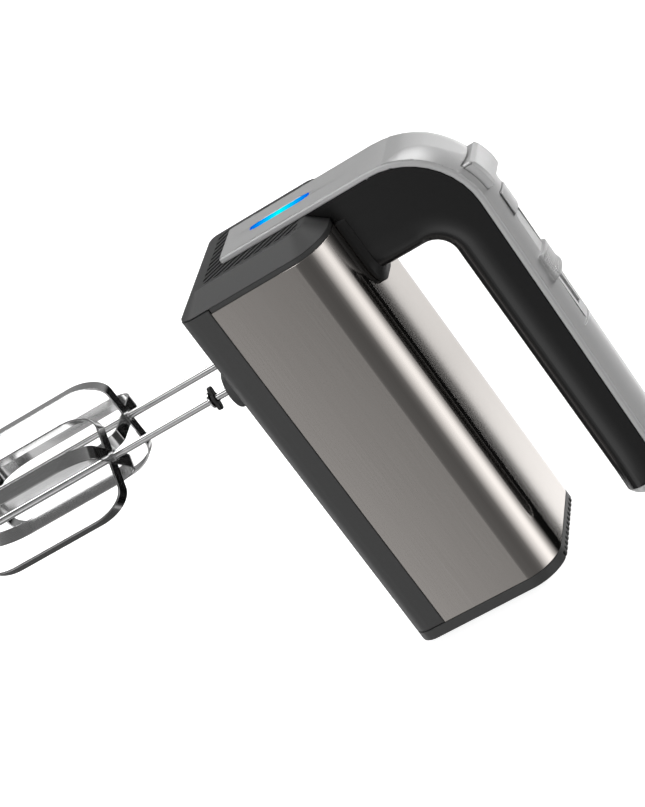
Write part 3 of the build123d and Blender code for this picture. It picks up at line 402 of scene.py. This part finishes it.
# Black grip: its lower sides roll under in one long soft curve.
CORNER_X, CORNER_Z, CORNER_R = 147.0, 91.3, 10.5
NECK_REAR = CORNER_X + CORNER_R
INNER_HALF = 8.0         # half width of the grip's flat underside
CAD_ROLL = 8.5           # reach and depth of the plain quarter round
ROLL = 15.6              # depth of the long soft curve
LEAN, ROUND = 1.0, 7.5   # its gentle part and its round part
FADE_FROM, FADE_OVER = 4.0, 10.0      # the long curve starts softly at the rear end
ON_FACE = 0.12           # points nearer than this lie on the CAD's rounded side


def inside_distance(x, z):
    """How far a point is from the grip's inner boundary."""
    if z < CORNER_Z:
        return abs(x - NECK_REAR)
    if x <= CORNER_X:
        return z - (CORNER_Z + CORNER_R)
    return math.hypot(x - CORNER_X, z - CORNER_Z) - CORNER_R


def grip_roll(x, y, z):
    t = inside_distance(x, z)
    if not 0.02 < t < ROLL or x < FADE_FROM - 0.5:
        return x, y, z
    was = INNER_HALF + CAD_ROLL * math.sqrt(1 - max(0.0, (CAD_ROLL - t) / CAD_ROLL) ** 2)
    if abs(y) < was - ON_FACE:
        return x, y, z
    s = (ROLL - t) / ROLL
    new = INNER_HALF + LEAN * (1 - s ** 1.5) + ROUND * (1 - s ** 4) ** 0.6
    fade = min(1.0, max(0.0, (x - FADE_FROM) / FADE_OVER))
    return x, math.copysign(was + (new - was) * fade, y), z


def grip_cut(bm):
    slice_up(bm, 2, steps(56.6, 118.0, 1.2))
    slice_up(bm, 0, steps(5.0, 140.0, 9.0) + steps(141.0, 180.0, 1.2))


# Light bar and its slot: full width almost to the rounded ends.
# Stops are height and half width, before and after.
STRIP_BACK = 199.0       # the slot's walls run from here to the strip's face
SLOT_WAS = [(23.3, 1.4), (28.5, 3.5), (51.5, 3.5), (56.7, 1.4)]
SLOT_NOW = [(23.3, 1.5), (23.8, 2.2), (24.8, 2.75), (27.0, 3.1), (33.0, 3.3), (47.0, 3.3),
            (53.0, 3.1), (55.2, 2.75), (56.2, 2.2), (56.7, 1.5)]
SLOT_CUTS = [23.6, 23.9, 24.4, 25.0, 26.0, 27.5, 31.0, 49.0, 52.5, 54.0, 55.0, 55.6, 56.1,
             56.4]


def slot_shape(x, y, z):
    was = between(z, SLOT_WAS)
    in_slot = SLOT_WAS[0][0] - 0.1 < z < SLOT_WAS[-1][0] + 0.1
    if x > STRIP_BACK and in_slot and was - 0.16 < abs(y) < was + 0.06:
        return x, math.copysign(between(z, SLOT_NOW) + abs(y) - was, y), z
    return x, y, z


def slot_cut(bm):
    slice_up(bm, 2, SLOT_CUTS)


# Neck gasket: a lip on the skin that flares up into the neck. Stops are the share of
# the plain ring's height, then the finished height, rear end and half width.
FLARE = [(0.0, 64.15, 151.2, 17.3), (0.10, 64.5, 150.8, 17.6), (0.36, 65.8, 150.8, 17.6),
         (0.48, 66.3, 151.3, 17.4), (0.64, 67.1, 153.2, 17.1), (0.82, 68.2, 155.2, 16.85),
         (1.0, 69.2, 156.4, 16.7)]
ring_rear, ring_half, ring_foot = place_of(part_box("neck_gasket")[0])
ring_nose, _, ring_top = place_of(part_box("neck_gasket")[1])


def gasket_cut(bm):
    slice_up(bm, 2, [ring_foot + (ring_top - ring_foot) * stop[0] for stop in FLARE[1:-1]])


def gasket_shape(x, y, z):
    share = (z - ring_foot) / (ring_top - ring_foot)
    up, rear, half = (between(share, [(stop[0], stop[k]) for stop in FLARE])
                      for k in (1, 2, 3))
    deep = (ring_nose - x) / (ring_nose - ring_rear)
    return ring_nose - deep * (ring_nose - rear), y * half / ring_half, up


# Silver cover: the flat front strip runs over the bend as a narrowing tongue, and the
# rounded crown stands up beside it. Places on the bend are turns in degrees, 0 at the
# strip and 90 at the straight handle; the tongue's stops are turn and half width.
CROWN_FROM, CROWN_OVER = 12.0, 66.0
ON_BEND, ON_CROWN = 0.35, 0.25        # points nearer than this lie on the outer face
TONGUE = [(12.7, 16.5), (18.1, 13.2), (21.8, 11.0), (25.2, 9.2), (28.6, 8.0), (32.8, 7.4),
          (38, 7.0), (54, 6.6), (62, 4.5), (68, 0.0)]


def cover_shape(x, y, z):
    if x > BEND_X and z > BEND_Z:
        turn = math.degrees(math.atan2(z - BEND_Z, x - BEND_X))
        out = math.hypot(x - BEND_X, z - BEND_Z) - BEND_R
        k = min(1.0, max(0.0, (turn - CROWN_FROM) / CROWN_OVER))
        was = arched(y, 0.02 + CROWN * k * k * (3 - 2 * k))
        if turn < TONGUE[0][0] or abs(out - was) > ON_BEND:
            return x, y, z
        swell = CROWN * between(turn, [(TONGUE[0][0], 0.5), (24.0, 0.82), (38.0, 1.0)])
        new = arched(max(abs(y), between(turn, TONGUE)), swell)
        radius = BEND_R + new
        return (BEND_X + radius * math.cos(math.radians(turn)), y,
                BEND_Z + radius * math.sin(math.radians(turn)))
    if x <= BEND_X and z > crease_height(x) - 0.2:
        if abs(z - crease_height(x) - arched(y, CROWN)) < ON_CROWN:
            return x, y, crease_height(x) + arched(y, CROWN)
    return slot_shape(x, y, z)


def cover_cut(bm):
    slot_cut(bm)
    slice_up(bm, 1, steps(-16.0, 16.0, 0.8))
    for turn in steps(CROWN_FROM, 88.0, 1.5):
        a = math.radians(turn)
        bmesh.ops.bisect_plane(
            bm, geom=bm.verts[:] + bm.edges[:] + bm.faces[:],
            plane_co=at(BEND_X, 0, BEND_Z), dist=WELD,
            plane_no=Vector((math.cos(a), 0, -math.sin(a))))


def cover_weight(x, y, z):
    return 1.0 if abs(y) > HALF - 0.3 or z < 9.0 else 0.3


# Eject button: its top is a little domed and rises towards the nose.
DOME_MIDDLE, DOME_REACH = 173.4, 7.5
DOME_RISE, DOME_TILT, DOME_LIMIT = 0.8, 0.5, 135.15
DOME_FROM, DOME_OVER = 124.0, 5.0     # heights below this stay, and the lift grows above


def eject_dome(x, y, z):
    u = (x - DOME_MIDDLE) / DOME_REACH
    lift = DOME_RISE * max(0.0, 1 - u * u) + DOME_TILT * (1 + max(-1.0, min(1.0, u)))
    return x, y, min(DOME_LIMIT, z + lift * min(1.0, max(0.0, (z - DOME_FROM) / DOME_OVER)))


def eject_cut(bm):
    slice_up(bm, 0, steps(166.9, 180.4, 1.2))


def eject_weight(x, y, z):
    if x > 180.5 and abs(y) > 11.5 and z > 118:
        return 1.0
    return 0.10 if z > 118 else 0.0


# Track: its slot is a little wider, and its walls are painted dark as shade inside the slot.
SLIT_WAS, SLIT_NOW = 1.6, 2.3         # half widths
SLIT_LIP = 131.7         # height below which the slot's walls are dark


def track_shape(x, y, z):
    if abs(abs(y) - SLIT_WAS) < 0.1:
        return x, math.copysign(SLIT_NOW, y), z
    return x, y, z


# Painted shade: the slot's walls below the lip take dark plastic in place of the shade inside the
# slot.
def track_painted_shade(x, y, z):
    return abs(y) < SLIT_NOW + 0.1 and z < SLIT_LIP


def grid_piece(node, rows, width, angle=35.0):
    """Closed piece from rows of points; each row is one cross-section."""
    bm = bmesh.new()
    verts = [[bm.verts.new(at(*p)) for p in row] for row in rows]
    for a, b in zip(verts, verts[1:]):
        for k in range(len(a)):
            j = (k + 1) % len(a)
            bm.faces.new((a[k], a[j], b[j], b[k]))
    bm.faces.new(verts[0])
    bm.faces.new(verts[-1])
    bmesh.ops.recalc_face_normals(bm, faces=bm.faces)
    weigh_edges(bm, angle, None)
    mesh = bpy.data.meshes.new(node + "_finished")
    bm.to_mesh(mesh)
    bm.free()
    mesh.materials.append(BY_SLOT[slot_of[node]])
    put(node, mesh, width, 2, angle)


# Speed slider: a thumb saddle with raised ends and fine ridges. Stops are length and lift.
SADDLE = [(111.0, 1.2), (111.5, 2.2), (112.4, 2.75), (113.8, 2.72), (115.0, 2.3),
          (116.2, 1.95), (124.3, 1.9), (124.8, 1.65), (125.0, 1.2)]
SADDLE_HALF, SADDLE_ROLL = 9.6, 2.2
RIDGE_FROM, RIDGE_TO, RIDGE_PITCH, RIDGE_DEPTH = 113.4, 123.3, 1.1, 0.60


def saddle_rows():
    rows = []
    foot = arched(SADDLE_HALF, CROWN) - 0.4
    for x in steps(SADDLE[0][0], SADDLE[-1][0], 0.1):
        lift = between(x, SADDLE)
        if RIDGE_FROM < x < RIDGE_TO:
            phase = math.pi * (x - RIDGE_FROM) / RIDGE_PITCH
            lift -= RIDGE_DEPTH * abs(math.cos(phase)) ** 3
        base = crease_height(x)
        row = [(x, -SADDLE_HALF, base + foot)]
        for y in steps(-SADDLE_HALF, SADDLE_HALF, 0.4):
            edge = max(0.0, abs(y) - (SADDLE_HALF - SADDLE_ROLL)) / SADDLE_ROLL
            height = lift * math.sqrt(max(0.0, 1 - edge ** 2.4))
            row.append((x, y, base + arched(y, CROWN) + max(height, 0.02)))
        row.append((x, SADDLE_HALF, base + foot))
        rows.append(row)
    return rows


refined("steel_wrap", 0.22)
refined("base_housing", 0.45)
refined("front_cap", 0.45, weight=cap_weight, painted_shade=cap_painted_shade, kept=cap_kept)
refined("rear_cap", 0.40)
refined("heel_feet", 0.40)
refined("handle_grip", 0.0, cut=grip_cut, move=grip_roll)
refined("neck_gasket", 0.0, cut=gasket_cut, move=gasket_shape)
refined("handle_top_cover", 0.85, segments=3, weight=cover_weight, cut=cover_cut,
        move=cover_shape)
refined("handle_end_cap", 0.45)
refined("cord_gland", 0.35)
refined("led_light_bar", 0.20, cut=slot_cut, move=slot_shape)
refined("eject_button", 1.2, weight=eject_weight, cut=eject_cut, move=eject_dome)
refined("turbo_button", 0.40)
grid_piece("speed_slider", saddle_rows(), 0.25)
refined("slider_track", 0.0, move=track_shape, painted_shade=track_painted_shade)
for side in ("left", "right"):
    refined("beater_outer_loop_" + side, 0.18)
    refined("beater_inner_loop_" + side, 0.18)
    refined("beater_shaft_" + side, 0.15)
refined("beater_collar_left", 0.20)
refined("beater_wing_left", 0.35)


# ------------------------------------------------------------------ floor
FLOOR_HALF = 6.0         # metres


def stage_floor():
    """Plain pale floor that the mixer doesn't mirror."""
    mesh = bpy.data.meshes.new("floor")
    bm = bmesh.new()
    bmesh.ops.create_grid(bm, x_segments=8, y_segments=8, size=FLOOR_HALF)
    bm.to_mesh(mesh)
    bm.free()
    floor = bpy.data.objects.new("floor", mesh)
    scene.collection.objects.link(floor)
    floor.location = (0, 0, cad_low.z)
    m, tree, shader = node_material("pale_floor")
    noise = grain(tree, 3.0, 2.0)
    tree.links.new(ramp(tree, noise, [(0.3, grey(0.60)), (0.7, grey(0.62))]),
                   shader.inputs["Base Color"])
    shader.inputs["Roughness"].default_value = 0.9
    shader.inputs["Specular IOR Level"].default_value = 0.0
    shader.inputs["Emission Color"].default_value = (1, 1, 1, 1)
    shader.inputs["Emission Strength"].default_value = 0.85
    mesh.materials.append(m)
    floor.visible_glossy = False
    floor.visible_diffuse = False


stage_floor()

# ------------------------------------------------------------------ light
# Studio surround: upright strips of light and dark round the mixer, softer above.
# Strips are direction round the frame's Z axis in degrees and brightness; ABOVE and
# BELOW are the direction's Z part and brightness.
STRIPS = [(-180, 1.6), (-174, 0.45), (-170, 0.06), (-154, 0.06), (-149, 0.20), (-138, 0.25),
          (-134, 1.30), (-120, 1.30), (-115, 0.50), (-112, 0.34), (-107, 0.17), (-100, 0.14),
          (-72, 0.12), (-62, 0.14), (-52, 0.21), (-42, 0.62), (-30, 1.12), (-15, 1.60),
          (-5, 1.45), (8, 0.66), (20, 0.18), (29, 0.005), (73, 0.005), (79, 1.50),
          (88, 1.50), (94, 0.20), (152, 0.15), (158, 2.0), (174, 2.0)]
ABOVE = [(0.0, 0.30), (0.35, 0.34), (0.6, 0.22), (1.0, 0.14)]
BELOW = [(-1.0, 0.35), (-0.60, 0.6), (-0.42, 1.0), (-0.28, 0.80)]
# Soft boxes: direction, reach in degrees, brightness.
SOFTBOXES = [((-0.36, 0.31, 0.88), 14, 4.0), ((-0.27, -0.76, 0.58), 9, 3.0),
             ((0.40, 0.27, 0.87), 18, 2.4)]
BOX_EDGE = 3             # degrees over which a soft box fades
BACKDROP = 1.05          # brightness of the plain white behind the mixer


def studio_world():
    """Surround that lights the mixer; the camera itself sees plain white."""
    world = bpy.data.worlds.new("studio")
    scene.world = world
    world.use_nodes = True
    tree = world.node_tree
    tree.nodes.clear()
    new, link = tree.nodes.new, tree.links.new

    def mapped(value, low, high, to_low, to_high, curve="LINEAR"):
        node = new("ShaderNodeMapRange")
        node.interpolation_type = curve
        for key, number in (("From Min", low), ("From Max", high), ("To Min", to_low),
                            ("To Max", to_high)):
            node.inputs[key].default_value = number
        link(value, node.inputs["Value"])
        return node.outputs[0]

    def blended(kind, factor, a, b):
        node = new("ShaderNodeMix")
        node.data_type = "RGBA"
        node.blend_type = kind
        node.clamp_factor = False
        for socket, value in ((0, factor), (6, a), (7, b)):
            if isinstance(value, float):
                node.inputs[socket].default_value = value
            else:
                link(value, node.inputs[socket])
        return node.outputs[2]

    coord = new("ShaderNodeTexCoord")
    split = new("ShaderNodeSeparateXYZ")
    link(coord.outputs["Generated"], split.inputs[0])
    turn = new("ShaderNodeMath")
    turn.operation = "ARCTAN2"
    link(split.outputs["Y"], turn.inputs[0])
    link(split.outputs["X"], turn.inputs[1])
    around = mapped(turn.outputs[0], -math.pi, math.pi, 0.0, 1.0)
    peak = max(v for _, v in STRIPS)
    strips = ramp(tree, around, [((a + 180) / 360, grey(v / peak)) for a, v in STRIPS])
    drop = ramp(tree, mapped(split.outputs["Z"], -1.0, 0.0, 0.0, 1.0),
                [(z + 1, grey(v)) for z, v in BELOW])
    low = blended("MULTIPLY", 1.0, strips, drop)
    above = ramp(tree, split.outputs["Z"], [(z, grey(v / peak)) for z, v in ABOVE])
    rise = mapped(split.outputs["Z"], -0.05, 0.22, 0.0, 1.0)
    room = blended("MIX", rise, low, above)
    for direction, reach, brightness in SOFTBOXES:
        toward = new("ShaderNodeVectorMath")
        toward.operation = "DOT_PRODUCT"
        link(coord.outputs["Generated"], toward.inputs[0])
        toward.inputs[1].default_value = Vector(direction).normalized()
        box = mapped(toward.outputs["Value"], math.cos(math.radians(reach + BOX_EDGE)),
                     math.cos(math.radians(reach - BOX_EDGE)), 0.0, brightness / peak,
                     "SMOOTHSTEP")
        room = blended("ADD", 1.0, room, box)
    lit = new("ShaderNodeBackground")
    link(room, lit.inputs["Color"])
    lit.inputs["Strength"].default_value = peak
    seen = new("ShaderNodeBackground")
    seen.inputs["Color"].default_value = (1, 1, 1, 1)
    seen.inputs["Strength"].default_value = BACKDROP
    path = new("ShaderNodeLightPath")
    choose = new("ShaderNodeMixShader")
    out = new("ShaderNodeOutputWorld")
    link(path.outputs["Is Camera Ray"], choose.inputs[0])
    link(lit.outputs[0], choose.inputs[1])
    link(seen.outputs[0], choose.inputs[2])
    link(choose.outputs[0], out.inputs[0])


studio_world()

# Card behind the mixer: it stands off the skin's top in this direction.
CARD_TURN = math.radians(70.5)
CARD_FROM = at(0, 11.5, 64.1)
CARD_AWAY, CARD_WIDTH, CARD_FOOT, CARD_HEAD = 90 * MM, 48 * MM, -52 * MM, 138 * MM
DIM_FROM, DIM_TO = -30 * MM, 80 * MM  # the card is dimmer towards its head
CARD_GLOW = 1.36


def reflector_card():
    """White card behind the mixer that the bright skin mirrors along its top."""
    ray = Vector((math.cos(CARD_TURN), math.sin(CARD_TURN), 0))
    across = Vector((-ray.y, ray.x, 0))
    start = CARD_FROM + ray * CARD_AWAY
    mesh = bpy.data.meshes.new("reflector_card")
    bm = bmesh.new()
    corners = [start + across * s + Vector((0, 0, h)) for s, h in
               ((0, CARD_FOOT), (CARD_WIDTH, CARD_FOOT), (CARD_WIDTH, CARD_HEAD),
                (0, CARD_HEAD))]
    bm.faces.new([bm.verts.new(c) for c in corners])
    bm.to_mesh(mesh)
    bm.free()
    card = bpy.data.objects.new("reflector_card", mesh)
    scene.collection.objects.link(card)
    m, tree, shader = node_material("card_white")
    coord = tree.nodes.new("ShaderNodeTexCoord")
    split = tree.nodes.new("ShaderNodeSeparateXYZ")
    tree.links.new(coord.outputs["Object"], split.inputs[0])
    level = tree.nodes.new("ShaderNodeMapRange")
    level.inputs["From Min"].default_value = DIM_FROM
    level.inputs["From Max"].default_value = DIM_TO
    tree.links.new(split.outputs["Z"], level.inputs["Value"])
    tone = ramp(tree, level.outputs[0], [(0.0, grey(1.0)), (1.0, grey(0.70))])
    tree.links.new(tone, shader.inputs["Emission Color"])
    shader.inputs["Base Color"].default_value = (0, 0, 0, 1)
    shader.inputs["Specular IOR Level"].default_value = 0.0
    shader.inputs["Emission Strength"].default_value = CARD_GLOW
    shader.inputs["Roughness"].default_value = 0.9
    mesh.materials.append(m)
    card.visible_camera = False
    card.visible_shadow = False
    card.visible_diffuse = False


reflector_card()

LAMP_SPREAD = math.radians(25)


def far_lamp(name, energy, direction):
    """Wide soft lamp from a direction in the mixer's axes; bright metal doesn't show it."""
    data = bpy.data.lights.new(name, "SUN")
    data.energy = energy
    data.angle = LAMP_SPREAD
    lamp = bpy.data.objects.new(name, data)
    scene.collection.objects.link(lamp)
    length, side, height = direction
    source = Vector((height, -side, length))
    lamp.rotation_euler = source.to_track_quat("Z", "Y").to_euler()
    lamp.visible_glossy = False


far_lamp("rim_light", 17.0, (0.0, -0.84, 0.54))
far_lamp("fill_light", 2.7, (0.1, 0.90, -0.43))

# ------------------------------------------------------------------ camera
AZIMUTH, ELEVATION, TILT = math.radians(22.2637), math.radians(19.2026), math.radians(36.99)
EYE = at(544.429, 1152.066, 471.856)
LENS = 124.64


def photo_camera():
    data = bpy.data.cameras.new("camera")
    camera = bpy.data.objects.new("camera", data)
    scene.collection.objects.link(camera)
    forward = Vector((-math.sin(AZIMUTH) * math.cos(ELEVATION),
                      math.cos(AZIMUTH) * math.cos(ELEVATION), -math.sin(ELEVATION)))
    level = Vector((math.cos(AZIMUTH), math.sin(AZIMUTH), 0))
    up = level.cross(forward)
    right = level * math.cos(TILT) - up * math.sin(TILT)
    head = level * math.sin(TILT) + up * math.cos(TILT)
    turn = Matrix((right, head, -forward)).transposed().to_4x4()
    camera.matrix_world = Matrix.Translation(EYE) @ turn
    data.sensor_width = 36.0
    data.lens = LENS
    data.clip_start, data.clip_end = 0.05, 50
    scene.camera = camera


photo_camera()
scene.view_settings.view_transform = "Standard"
scene.view_settings.look = "None"
